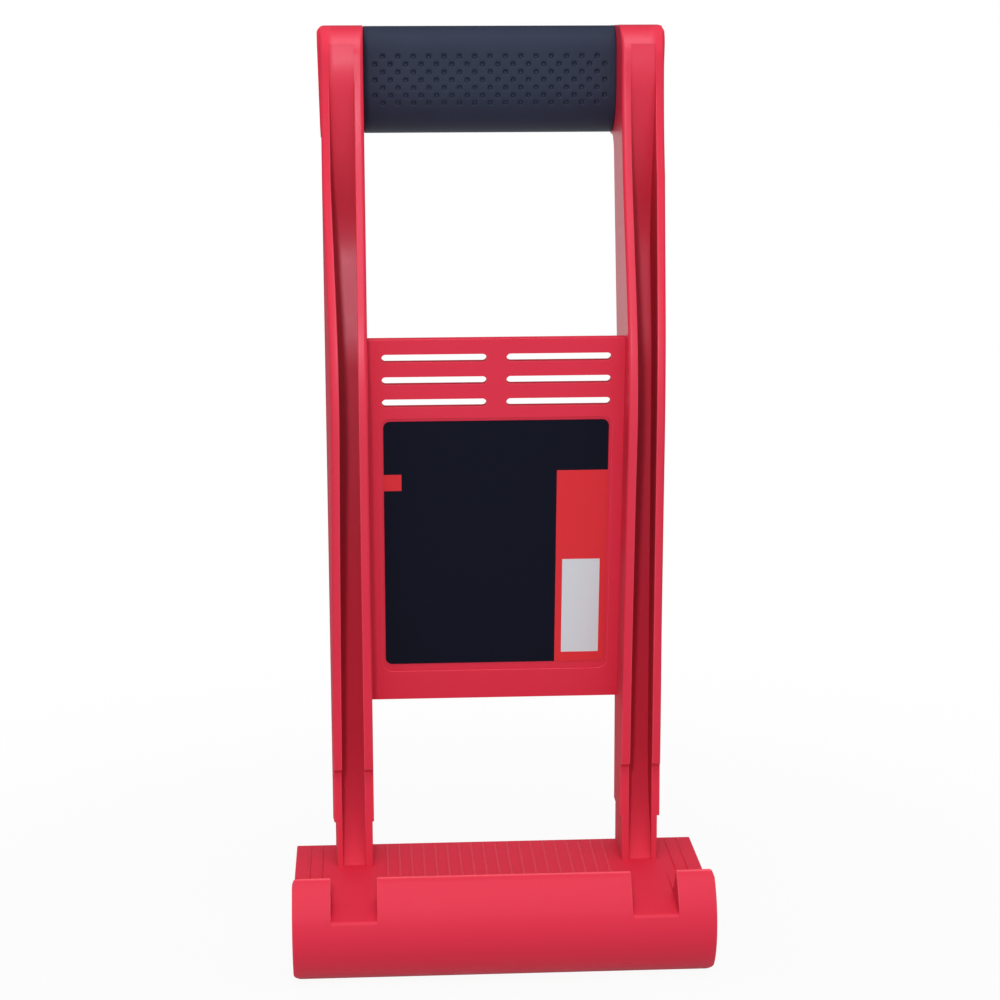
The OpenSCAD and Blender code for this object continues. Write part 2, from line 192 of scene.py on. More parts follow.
# Heights, and places across, between which the uprights turn from satin to dull
DULL_HEIGHTS_MM = (250.0, 115.0)
DULL_FLANKS_MM = (61.5, 64.5)

# Noises of the finishes: size in millimetres, detail, roughness
ABS_GRAIN = (0.35, 3.0, 0.6)
ABS_PEEL = (1.6, 2.0, 0.5)
ABS_FLOW = (38.0, 2.0, 0.5)
ABS_SCUFFS = (4.5, 4.0, 0.65)
WEAR_AND_HIGHLIGHT_PATCHES = (2.2, 2.0, 0.5)
SOFT_GRAIN = (0.22, 3.0, 0.65)
SOFT_CLOUDS = (14.0, 3.0, 0.5)
PRINT_SPECKLE = (0.5, 2.0, 0.5)
FILM_WAVES = (0.9, 2.0, 0.5)
FILM_SMEARS = (6.0, 3.0, 0.5)
# Their relief: depth in millimetres, strength
ABS_RELIEF = (0.02, 0.35)
SOFT_RELIEF = (0.03, 0.45)
FILM_RELIEF = (0.01, 0.25)

# Red ABS: share of peel in the relief and of flow in the colour, where scuffs set in, how much paler the
# edges are (partly wear, partly a painted highlight), and how much more the painted crest and bead highlights
# add
PEEL_SHARE = 0.5
FLOW_PALES = 0.30
SCUFF_STOPS = ((0.52, 0), (0.72, 1))
WEAR_AND_HIGHLIGHT_LEAST = 0.25
WEAR_AND_HIGHLIGHT_SPREAD = 0.5
HIGHLIGHT_ADD = 0.25
# What its grain and flow add to the roughness, and scuffs take away
GRAIN_ROUGH = 0.12
FLOW_ROUGH = 0.06
SCUFFS_POLISH = 0.05
# Soft rubber: gloss, roughness and what clouds and grain add to it, and the shares that pale it; the last is
# a painted glint in each dimple
SOFT_GLOSS = 0.12
SOFT_ROUGH = 0.48
SOFT_GRAIN_ROUGH = 0.16
SOFT_CLOUDS_ROUGH = 0.06
CLOUDS_WEAR = 0.5
GRAIN_WEAR = 0.3
GLINT_SHARE = 0.4
# Film: gloss, roughness and what smears add to it, and how the speckle changes each ink
FILM_GLOSS = 0.05
FILM_ROUGH = 0.33
SMEARS_ROUGH = 0.12
BLACK_SPECKLE = 1.5
RED_SPECKLE = 0.94
GREY_SPECKLE = 0.96

# Colours, linear
ABS_RED = (0.63, 0.0145, 0.043)
ABS_PALE = (0.67, 0.026, 0.060)
# Pale red of the edges, partly wear and partly a painted highlight, and of the painted crest and bead
# highlights
ABS_WEAR_AND_HIGHLIGHT = (0.80, 0.085, 0.115)
ABS_SHEEN = (1.0, 0.85, 1.0, 1.0)
SOFT_DARK = (0.0175, 0.0245, 0.049)
SOFT_WORN = (0.031, 0.038, 0.066)
# Pale colour of the painted glint in each dimple
SOFT_GLINT = (0.16, 0.19, 0.24)
PRINT_BLACK = (0.0035, 0.0045, 0.0110)
PRINT_RED = (0.67, 0.034, 0.045)
PRINT_GREY = (0.60, 0.66, 0.70)
FLOOR_WHITE = (0.52, 0.52, 0.52)


class Wire:
    """A socket that takes part in Python sums: each operator adds a Math node behind it."""

    def __init__(self, maker, socket):
        self.maker = maker
        self.socket = socket

    def _sum(self, operation, *terms):
        return self.maker.node("ShaderNodeMath", {"operation": operation}, dict(enumerate(terms)))

    def __add__(self, other):
        return self._sum("ADD", self, other)

    def __sub__(self, other):
        return self._sum("SUBTRACT", self, other)

    def __rsub__(self, other):
        return self._sum("SUBTRACT", other, self)

    def __mul__(self, other):
        return self._sum("MULTIPLY", self, other)

    def __truediv__(self, other):
        return self._sum("DIVIDE", self, other)

    def __gt__(self, other):
        return self._sum("GREATER_THAN", self, other)

    def __lt__(self, other):
        return self._sum("LESS_THAN", self, other)

    def __abs__(self):
        return self._sum("ABSOLUTE", self)

    def whole(self):
        return self._sum("ROUND", self)

    def most(self, other):
        return self._sum("MAXIMUM", self, other)

    def least(self, other):
        return self._sum("MINIMUM", self, other)

    def remainder(self, divisor):
        return self._sum("FLOORED_MODULO", self, divisor)

    def part(self, name):
        """Another output of the node that this socket belongs to."""
        return Wire(self.maker, self.socket.node.outputs[name])

    __radd__ = __add__
    __rmul__ = __mul__


class Maker:
    """Adds nodes to one tree, of a material, of the world or of a geometry modifier."""

    def __init__(self, tree):
        self.tree = tree

    def node(self, kind, settings=None, inputs=None, out=0):
        made = self.tree.nodes.new(kind)
        for name, value in (settings or {}).items():
            if name == "stops":
                self._stops(made.color_ramp.elements, value)
            else:
                setattr(made, name, value)
        for name, value in (inputs or {}).items():
            self.feed(made.inputs[name], value)
        return Wire(self, made.outputs[out])

    def feed(self, socket, value):
        if isinstance(value, Wire):
            self.tree.links.new(value.socket, socket)
        else:
            socket.default_value = value

    @staticmethod
    def _stops(elements, stops):
        for i, (place, shade) in enumerate(stops):
            element = elements[i] if i < len(elements) else elements.new(place)
            element.position = place
            element.color = (shade, shade, shade, 1)

    def xyz(self, vector):
        split = self.node("ShaderNodeSeparateXYZ", inputs={0: vector})
        return split, split.part("Y"), split.part("Z")

    def vector(self, operation, *terms, out=0):
        return self.node("ShaderNodeVectorMath", {"operation": operation}, dict(enumerate(terms)), out)

    def step(self, value, start, full, low=0.0, high=1.0):
        """Low up to the start, high from the full place on, and a soft step between."""
        inputs = {"Value": value, "From Min": start, "From Max": full, "To Min": low, "To Max": high}
        return self.node("ShaderNodeMapRange", {"interpolation_type": "SMOOTHSTEP"}, inputs)


class Finish(Maker):
    """One procedural material with a Principled shader."""

    def __init__(self, name, **constants):
        self.material = bpy.data.materials.new(name)
        self.material.use_nodes = True
        super().__init__(self.material.node_tree)
        self.shader = self.tree.nodes["Principled BSDF"]
        for socket, value in constants.items():
            self.shader.inputs[socket.replace("_", " ")].default_value = value
        self.place = self.node("ShaderNodeTexCoord").part("Object")

    def noise(self, size_mm, detail, roughness):
        """Cloudy values about 0.5 with features of about that size."""
        inputs = {"Vector": self.place, "Scale": 1 / (size_mm * MM), "Detail": detail, "Roughness": roughness}
        return self.node("ShaderNodeTexNoise", inputs=inputs)

    def mix(self, share, low, high):
        """Colour between low and high."""
        ends = {0: share, 6: self._colour(low), 7: self._colour(high)}
        return self.node("ShaderNodeMix", {"data_type": "RGBA"}, ends, out=2)

    @staticmethod
    def _colour(value):
        return value if isinstance(value, Wire) else (*value, 1)

    def speckled(self, speckle, ink, change):
        return self.mix(speckle, ink, tuple(c * change for c in ink))

    def ramp(self, value, *stops):
        return self.node("ShaderNodeValToRGB", {"stops": stops}, {0: value})

    def rise(self, value, start_mm, full_mm):
        """0 up to the start, 1 from the full place on."""
        return self.step(value, start_mm * MM, full_mm * MM)

    def attribute(self, name):
        return self.node("ShaderNodeAttribute", {"attribute_name": name}).part("Fac")

    def bump(self, height, depth_mm, strength):
        inputs = {"Height": height, "Distance": depth_mm * MM, "Strength": strength}
        self.feed(self.shader.inputs["Normal"], self.node("ShaderNodeBump", inputs=inputs))

    def wear(self, **values):
        """Feeds what changes over the surface into the shader."""
        for socket, value in values.items():
            self.feed(self.shader.inputs[socket.replace("_", " ")], value)
        return self.material


def painted_crest_and_bead_highlights(finish, across, along, height):
    """Painted highlights on the tray: a pale line along the lip's crest and on the tops of the middle beads.
    """
    beads = finish.rise(height, *BEAD_HIGHLIGHT_MM) * finish.rise(along, *BEAD_START_MM)
    middle = finish.rise(abs(across), *BEAD_MIDDLE_MM) * BEAD_HIGHLIGHT
    return finish.rise(height, *CREST_HIGHLIGHT_MM).most(beads * middle)


def moulded_red(name, gloss, roughness, dulled=0.0, highlights=None):
    """Satin ABS: a fine grain, slow flow clouds, paler edges that are partly wear and partly a painted
    highlight, feet and outer flanks dulled by use.
    """
    finish = Finish(name, Specular_IOR_Level=gloss, Specular_Tint=ABS_SHEEN)
    across, along, height = finish.xyz(finish.place)
    dull = finish.rise(height, *DULL_HEIGHTS_MM).most(finish.rise(abs(across), *DULL_FLANKS_MM))
    grain = finish.noise(*ABS_GRAIN)
    flow = finish.noise(*ABS_FLOW)
    scuffs = finish.ramp(finish.noise(*ABS_SCUFFS), *SCUFF_STOPS)
    patches = WEAR_AND_HIGHLIGHT_LEAST + finish.noise(*WEAR_AND_HIGHLIGHT_PATCHES) * WEAR_AND_HIGHLIGHT_SPREAD
    # Paler rounded edges: partly wear, partly a painted highlight
    worn_and_highlit = finish.attribute("edge") * patches
    if highlights:
        # Painted highlights: the crest and bead-top lines are paled on top of the edges
        worn_and_highlit = worn_and_highlit.most(highlights(finish, across, along, height) * (patches + HIGHLIGHT_ADD))
    tone = finish.mix(worn_and_highlit, finish.mix(flow * FLOW_PALES, ABS_RED, ABS_PALE), ABS_WEAR_AND_HIGHLIGHT)
    finish.bump(grain + finish.noise(*ABS_PEEL) * PEEL_SHARE, *ABS_RELIEF)
    rough = roughness + dull * dulled + grain * GRAIN_ROUGH + flow * FLOW_ROUGH - scuffs * SCUFFS_POLISH
    return finish.wear(Base_Color=tone, Roughness=rough)


def soft_black(name):
    """Matt thermoplastic rubber with a fine grain, paler where hands polish it, and a painted glint in each
    dimple.
    """
    finish = Finish(name, Specular_IOR_Level=SOFT_GLOSS)
    grain = finish.noise(*SOFT_GRAIN)
    clouds = finish.noise(*SOFT_CLOUDS)
    tone = finish.mix(clouds * CLOUDS_WEAR + grain * GRAIN_WEAR, SOFT_DARK, SOFT_WORN)
    # Painted glint: a pale dot on each dimple's floor, off its middle
    tone = finish.mix(finish.attribute("painted_glint") * GLINT_SHARE, tone, SOFT_GLINT)
    finish.bump(grain, *SOFT_RELIEF)
    rough = SOFT_ROUGH + grain * SOFT_GRAIN_ROUGH + clouds * SOFT_CLOUDS_ROUGH
    return finish.wear(Base_Color=tone, Roughness=rough)


def span(value, low, high):
    """1 between low and high, 0 elsewhere."""
    return (value > low) * (value < high)


def printed_film(name, top):
    """Printed film: a black field with a red tab, a red block and a grey plate, under a thin varnish."""
    finish = Finish(name, Specular_IOR_Level=FILM_GLOSS)
    tilt = math.radians(PANEL_TILT_DEG)
    up_slope = finish.vector("DOT_PRODUCT", finish.place, (0, -math.sin(tilt), math.cos(tilt)), out="Value")
    down = (top - up_slope) * (1 / MM)
    across = finish.xyz(finish.place)[0] * (1 / MM)
    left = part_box("label")[0].x / MM
    tab = (across < left + TAB_W_MM) * span(down, TAB_TOP_MM, TAB_LOW_MM)
    block = (across > BLOCK_LEFT_MM) * (down > BLOCK_TOP_MM)
    plate = span(across, PLATE_LEFT_MM, PLATE_RIGHT_MM) * span(down, PLATE_TOP_MM, PLATE_LOW_MM)
    speckle = finish.noise(*PRINT_SPECKLE)
    field = finish.speckled(speckle, PRINT_BLACK, BLACK_SPECKLE)
    reds = finish.speckled(speckle, PRINT_RED, RED_SPECKLE)
    greys = finish.speckled(speckle, PRINT_GREY, GREY_SPECKLE)
    tone = finish.mix(plate, finish.mix(tab + block, field, reds), greys)
    finish.bump(finish.noise(*FILM_WAVES), *FILM_RELIEF)
    return finish.wear(Base_Color=tone, Roughness=FILM_ROUGH + finish.noise(*FILM_SMEARS) * SMEARS_ROUGH)


def placed(name, data):
    """New object in the scene."""
    made = bpy.data.objects.new(name, data)
    bpy.context.scene.collection.objects.link(made)
    return made


def painted(piece, material):
    """Gives a piece one finish in place of what it had."""
    piece.data.materials.clear()
    piece.data.materials.append(material)


def shown(name, mesh, node, material):
    """A finished piece that stands for a CAD node."""
    piece = placed(name, mesh)
    painted(piece, material)
    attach(piece, BODY)
    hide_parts(node)
    return piece


def mesh_of(bm, name):
    """New mesh from a finished bmesh."""
    mesh = bpy.data.meshes.new(name)
    bm.to_mesh(mesh)
    bm.free()
    return mesh


def evaluated_mesh(helper):
    """Plain mesh of an object with its modifiers applied."""
    return bpy.data.meshes.new_from_object(helper.evaluated_get(bpy.context.evaluated_depsgraph_get()))


def clean(bm, weld_mm):
    """Joins points that lie together and drops the edges across flat faces."""
    bmesh.ops.remove_doubles(bm, verts=bm.verts, dist=weld_mm * MM)
    bmesh.ops.dissolve_limit(bm, angle_limit=math.radians(FLAT_DEG), verts=bm.verts, edges=bm.edges)


def shade_smooth(bm, sharp_deg):
    """Smooth faces, with edges that turn further than that left sharp."""
    for face in bm.faces:
        face.smooth = True
    for edge in bm.edges:
        edge.smooth = edge.calc_face_angle(0) < math.radians(sharp_deg)


def rounded(mesh):
    """Rounds the corners that carry a bevel weight and returns the new mesh."""
    helper = placed("helper", mesh)
    modifier = helper.modifiers.new("corners", "BEVEL")
    modifier.limit_method = "WEIGHT"
    modifier.width = WIDEST_EDGE_MM * MM
    modifier.segments = EDGE_STEPS
    modifier.use_clamp_overlap = False
    modifier.material = ROUNDED
    for _ in range(ROUNDED + 1):
        mesh.materials.append(None)
    made = evaluated_mesh(helper)
    bpy.data.objects.remove(helper)
    return made


def weighted_copy(node, width_of, reshape):
    """Clean copy of a CAD node's mesh whose convex corners carry bevel weights; width_of gives the radius."""
    bm = bmesh.new()
    bm.from_mesh(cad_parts[node].data)
    clean(bm, WELD_MM)
    if reshape:
        reshape(bm)
    weight = bm.edges.layers.float.new("bevel_weight_edge")
    for edge in bm.edges:
        if edge.is_manifold and edge.calc_face_angle_signed() > math.radians(SHARP_DEG):
            edge[weight] = width_of(edge) / WIDEST_EDGE_MM
    return mesh_of(bm, node)


def moulded_mesh(node, width_of, reshape=None):
    """Copy of a CAD node with rounded corners, smooth shading and an edge attribute for paler edges, partly
    wear and partly a painted highlight.
    """
    mesh = rounded(weighted_copy(node, width_of, reshape))
    bm = bmesh.new()
    bm.from_mesh(mesh)
    edge_wear_and_highlight = bm.verts.layers.float.new("edge")
    for vert in bm.verts:
        # Marks the paler rounded edges, partly wear and partly a painted highlight
        vert[edge_wear_and_highlight] = float(all(face.material_index == ROUNDED for face in vert.link_faces))
    for face in bm.faces:
        face.material_index = 0
    shade_smooth(bm, SHARP_DEG)
    bm.to_mesh(mesh)
    bm.free()
    return mesh


def even_normals(piece):
    """Keeps flat faces flat beside their rounded edges."""
    modifier = piece.modifiers.new("even_normals", "WEIGHTED_NORMAL")
    modifier.keep_sharp = True
    modifier.weight = NORMAL_WEIGHT
    return piece


def at_level(edge, axis, level_mm):
    """True if the whole edge lies on that plane across x, y or z."""
    return all(abs(getattr(v.co, axis) / MM - level_mm) < PLANE_SLACK_MM for v in edge.verts)


def at_sides(edge, low, high):
    """True if the edge lies on the left or right side of a box."""
    return at_level(edge, "x", low.x / MM) or at_level(edge, "x", high.x / MM)


def swell(place, start, full, held, end):
    """Rises from 0 at start to 1, holds, and fades to 0 at end."""
    share = min(max((place - start) / (full - start), 0.0), max((end - place) / (end - held), 0.0), 1.0)
    return share * share * (3 - 2 * share)


def level(height, table):
    """Value at a height, from a table of heights and values that runs from the top down."""
    for (upper, high), (lower, low) in zip(table, table[1:]):
        if height > lower:
            return low + (high - low) * min((height - lower) / max(upper - lower, LEAST_STEP), 1)
    return table[-1][1]


class Front:
    """Front face of an upright: its level rows, and how they fall back towards both flanks."""

    def __init__(self, node):
        low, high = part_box(node)
        self.side = math.copysign(1, low.x)
        self.top = high.z
        self.inner = min(abs(low.x), abs(high.x))
        self.outers = []

    def holds(self, vert):
        rear_mm = CROWN_REAR_MM if vert.co.z > self.top - CROWN_DROP_MM * MM else FRONT_REAR_MM
        return vert.co.y < rear_mm * MM and vert.co.z > FRONT_HEIGHTS_MM[0] * MM

    def on_inner(self, vert):
        return abs(abs(vert.co.x) - self.inner) < WELD_MM * MM

    def past_flange(self, place):
        """True if a place across lies farther out than the inner flange."""
        return place > self.inner + FLANGE_W_MM * MM

    @staticmethod
    def height_key(vert):
        """Height and depth of a point, for sorting from the top down."""
        return round(vert.co.z, PLACE_DIGITS), round(vert.co.y, PLACE_DIGITS)

    def rows(self, bm):
        """Places of the rows in the side view, from the top down, with their outward directions."""
        found = {self.height_key(v) for v in bm.verts if self.holds(v) and self.on_inner(v)}
        points = [Vector((0, y, z)) for z, y in sorted(found, reverse=True)]
        ways = []
        for i, point in enumerate(points):
            along = points[min(i + 1, len(points) - 1)] - points[max(i - 1, 0)]
            ways.append(Vector((0, along.z, -along.y)).normalized())
        return list(zip(points, ways))

    def outer_edge(self, bm, point):
        """Where a row ends at the outer flank, or None for a row of the inner flange alone."""
        edge = max(abs(v.co.x) for v in bm.verts if (v.co.yz - point.yz).length < WELD_MM * MM)
        return edge if self.past_flange(edge) else None

    def flank(self, bm, outer):
        """Points where the front face meets its outer or inner flank, from the top down."""
        found = []
        for vert in filter(self.holds, bm.verts):
            turns = [face.normal.x * self.side for face in vert.link_faces]
            on_outer = max(turns) > WALL_TURN and self.past_flange(abs(vert.co.x))
            if min(map(abs, turns)) < WALL_TURN and (on_outer if outer else self.on_inner(vert)):
                found.append(vert)
        return sorted(found, key=self.height_key, reverse=True)

    @staticmethod
    def rung(bm, vert, insets):
        """New points across the front from a flank's point, the farthest first."""
        points = []
        for edge in vert.link_edges:
            run = edge.other_vert(vert).co - vert.co
            reach = abs(run.x)
            if run.yz.length < WELD_MM * MM and reach > max(insets):
                for inset in insets:
                    points.append(bmesh.utils.edge_split(edge, vert, inset / reach)[1])
                    edge, reach = bm.edges.get((vert, points[-1])), inset
                break
        return points

    def rule_lines(self, bm, outer):
        """Adds lines down the front beside a flank, close enough together for a round corner."""
        shares = [1 - math.cos(math.pi / 2 * i / FRONT_CUTS) for i in range(FRONT_CUTS, 0, -1)]
        insets = [FRONT_R_MM * MM * share for share in shares]
        rungs = [rung for rung in (self.rung(bm, vert, insets) for vert in self.flank(bm, outer)) if rung]
        for upper, lower in zip(rungs, rungs[1:]):
            for above, below in zip(upper, lower):
                shared = set(above.link_faces) & set(below.link_faces)
                if shared:
                    bmesh.utils.face_split(shared.pop(), above, below)

    def inset(self, vert):
        """How far a point lies inward of the nearer flank."""
        place = abs(vert.co.x)
        return min(place - self.inner, level(vert.co.z, self.outers) - place)

    def rolls(self, edge):
        """True if the edge lies in a round corner or on a flank of the front."""
        radius = (FRONT_R_MM + WELD_MM) * MM
        return all(self.holds(v) and self.inset(v) < radius for v in edge.verts)

    @staticmethod
    def between(bm, upper, lower):
        """Points of the front face from one row to the next, with their share of the way."""
        run = lower - upper
        for vert in bm.verts:
            away = Vector((0, vert.co.y, vert.co.z)) - upper
            share = min(max(away.dot(run) / run.length_squared, 0), 1)
            if (away - run * share).length < WELD_MM * MM:
                yield vert, share

    def fall(self, vert):
        """How far a point of the front falls back where it nears a flank."""
        radius = FRONT_R_MM * MM * swell(vert.co.z / MM, *FRONT_HEIGHTS_MM)
        inset = min(max(self.inset(vert), 0), radius)
        return radius - math.sqrt(radius ** 2 - (radius - inset) ** 2)

    def soften(self, bm):
        """Rounds the front towards both flanks."""
        rows = self.rows(bm)
        edges = [(point.z, self.outer_edge(bm, point)) for point, _ in rows]
        self.outers = [(height, edge) for height, edge in edges if edge]
        bm.normal_update()
        for outer in (False, True):
            self.rule_lines(bm, outer)
        moves = {}
        for (upper, upper_way), (lower, lower_way) in zip(rows, rows[1:]):
            for vert, share in self.between(bm, upper, lower):
                moves[vert] = upper_way.lerp(lower_way, share) * self.fall(vert)
        for vert, move in moves.items():
            vert.co -= move


def make_upright(node, red):
    foot_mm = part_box(node)[0].z / MM
    front = Front(node)
    head = front.top - HEAD_DROP_MM * MM
    cheek = front.top - CHEEK_DROP_MM * MM

    def width_of(edge):
        in_brow = all(front.holds(v) and v.co.z > head for v in edge.verts)
        if in_brow or front.rolls(edge) or at_level(edge, "z", foot_mm):
            return 0
        on_cheek = all(abs(v.co.x) > CHEEK_MM * MM and v.co.z > cheek for v in edge.verts)
        return FINEST_EDGE_MM if on_cheek else EDGE_MM

    mesh = moulded_mesh(node, width_of, front.soften)
    return even_normals(shown(node + "_moulding", mesh, node, red))


def make_panel(red):
    low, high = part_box("centre_panel")
    inset = SLOT_INSET_MM * MM
    slots_low = high.z - SLOTS_DROP_MM * MM

    def by_slots(vert):
        return low.x + inset < vert.co.x < high.x - inset and slots_low < vert.co.z < high.z - inset

    def width_of(edge):
        if at_sides(edge, low, high):
            return 0
        return FINEST_EDGE_MM if all(map(by_slots, edge.verts)) else FINE_EDGE_MM

    mesh = moulded_mesh("centre_panel", width_of)
    return even_normals(shown("centre_panel_moulding", mesh, "centre_panel", red))


def lift_beads(bm, floor_mm):
    """Makes the low beads of the tray floor taller towards the lip, so that they show as lines."""
    for vert in bm.verts:
        rise = vert.co.z / MM - floor_mm
        if WELD_MM < rise < BEAD_TOP_MM and abs(vert.co.y / MM - LIP_FOOT_MM) < BEAD_TOP_MM:
            lift = END_BEAD_LIFT if abs(vert.co.x) / MM > END_BEADS_MM else BEAD_LIFT
            vert.co.z = (floor_mm + rise * lift) * MM


def sharpen_lip(bm, floor_mm):
    """Carries the lip's round front up to one crest, with a straight inner slope down to the floor."""
    middle_y, middle_z = LIP_MIDDLE_MM
    crest_y = middle_y - math.sqrt(LIP_R_MM ** 2 - (CREST_MM - middle_z) ** 2)
    stretch = (CREST_MM - CREST_START_MM) / (CREST_CAD_MM - CREST_START_MM)
    for vert in bm.verts:
        y, z = vert.co.y / MM, vert.co.z / MM
        rise = CREST_START_MM + (z - CREST_START_MM) * stretch if z > CREST_START_MM else z
        if rise > CREST_MM - CREST_JOIN_MM and abs(vert.co.x) < LIP_END_MM * MM:
            rise = CREST_MM
        if CREST_SPLIT_MM < y < LIP_FOOT_MM - WELD_MM and z > floor_mm + BEAD_TOP_MM:
            y = LIP_FOOT_MM + (crest_y - LIP_FOOT_MM) * (rise - floor_mm) / (CREST_MM - floor_mm)
        elif y <= CREST_SPLIT_MM and z > CREST_START_MM:
            y = middle_y - math.sqrt(LIP_R_MM ** 2 - (rise - middle_z) ** 2)
        else:
            continue
        vert.co.y, vert.co.z = y * MM, rise * MM


def make_tray(red):
    floor_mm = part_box("left_upright")[0].z / MM
    low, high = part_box("tray")

    def reshape(bm):
        sharpen_lip(bm, floor_mm)
        lift_beads(bm, floor_mm)
        clean(bm, CREST_WELD_MM)

    def at_lip_end(vert):
        return abs(vert.co.x) > LIP_END_MM * MM and vert.co.z > CREST_START_MM * MM

    def width_of(edge):
        heights = [v.co.z / MM - floor_mm for v in edge.verts]
        on_floor = max(heights) < BEAD_TOP_MM * END_BEAD_LIFT and min(heights) > -NOTCH_FALL_MM
        under = max(heights) < UNDER_MM - floor_mm
        on_rim = at_sides(edge, low, high) or at_level(edge, "y", high.y / MM)
        sharp = all(map(at_lip_end, edge.verts)) or (on_floor or under) and not on_rim
        return 0 if sharp else EDGE_MM

    mesh = moulded_mesh("tray", width_of, reshape)
    return even_normals(shown("tray_moulding", mesh, "tray", red))


def grip_section():
    """Closed outline of the grip in Y and Z, from the middle of its top down the front and round."""
    low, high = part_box("grip")
    top_r = GRIP_TOP_R_MM * MM
    low_r = GRIP_LOW_R_MM * MM
    corners = [
        (low.y + top_r, high.z - top_r, top_r, 90),
        (low.y + low_r, low.z + low_r, low_r, 180),
        (high.y - low_r, low.z + low_r, low_r, 270),
        (high.y - top_r, high.z - top_r, top_r, 0),
    ]
    points = [Vector((0, (low.y + high.y) / 2, high.z))]
    steps = SECTION_POINTS // len(corners)
    for y, z, radius, start in corners:
        for i in range(steps + 1):
            angle = math.radians(start + 90 * i / steps)
            points.append(Vector((0, y + radius * math.cos(angle), z + radius * math.sin(angle))))
    return points


def section_curve(points):
    """The grip's section as a closed poly curve."""
    data = bpy.data.curves.new("grip_section", "CURVE")
    data.dimensions = "3D"
    spline = data.splines.new("POLY")
    spline.points.add(len(points) - 1)
    for point, place in zip(spline.points, points):
        point.co = (*place, 1)
    spline.use_cyclic_u = True
    return placed("grip_section", data)


def dimple_ring(bm, share, fall):
    """Points of one ring of a dimple, from its first corner round."""
    radius = DIMPLE_R_MM * MM
    depth = DIMPLE_DEPTH_MM * MM
    ring = []
    for i in range(DIMPLE_SIDES):
        angle = math.radians(45 + 360 * i / DIMPLE_SIDES)
        place = (share * radius * math.cos(angle), share * radius * math.sin(angle), -fall * depth)
        ring.append(bm.verts.new(place))
    return ring


def dimple_tile(width, height):
    """Flat tile with one round dimple: rings step down from the rim to a floor whose middle carries a painted
    glint.
    """
    bm = bmesh.new()
    painted_glint = bm.verts.layers.float.new("painted_glint")
    signs = ((1, 1), (-1, 1), (-1, -1), (1, -1))
    corners = [bm.verts.new((sx * width / 2, sy * height / 2, 0)) for sx, sy in signs]
    rings = [dimple_ring(bm, share, fall) for share, fall in DIMPLE_RINGS]
    side = DIMPLE_SIDES // len(corners)
    for k, corner in enumerate(corners):
        rim = [rings[0][(k * side + i) % DIMPLE_SIDES] for i in range(side + 1)]
        bm.faces.new([corner, corners[(k + 1) % len(corners)], *reversed(rim)])
    for outer, inner in zip(rings, rings[1:]):
        for i in range(DIMPLE_SIDES):
            j = (i + 1) % DIMPLE_SIDES
            bm.faces.new([outer[i], outer[j], inner[j], inner[i]])
    middle = bm.verts.new((0, DIMPLE_SAG * (DIMPLE_R_MM * MM), -DIMPLE_DEPTH_MM * MM))
    # The floor's middle carries the painted glint
    middle[painted_glint] = 1.0
    for i in range(DIMPLE_SIDES):
        bm.faces.new([rings[-1][i], rings[-1][(i + 1) % DIMPLE_SIDES], middle])
    return placed("dimple_tile", mesh_of(bm, "dimple_tile"))


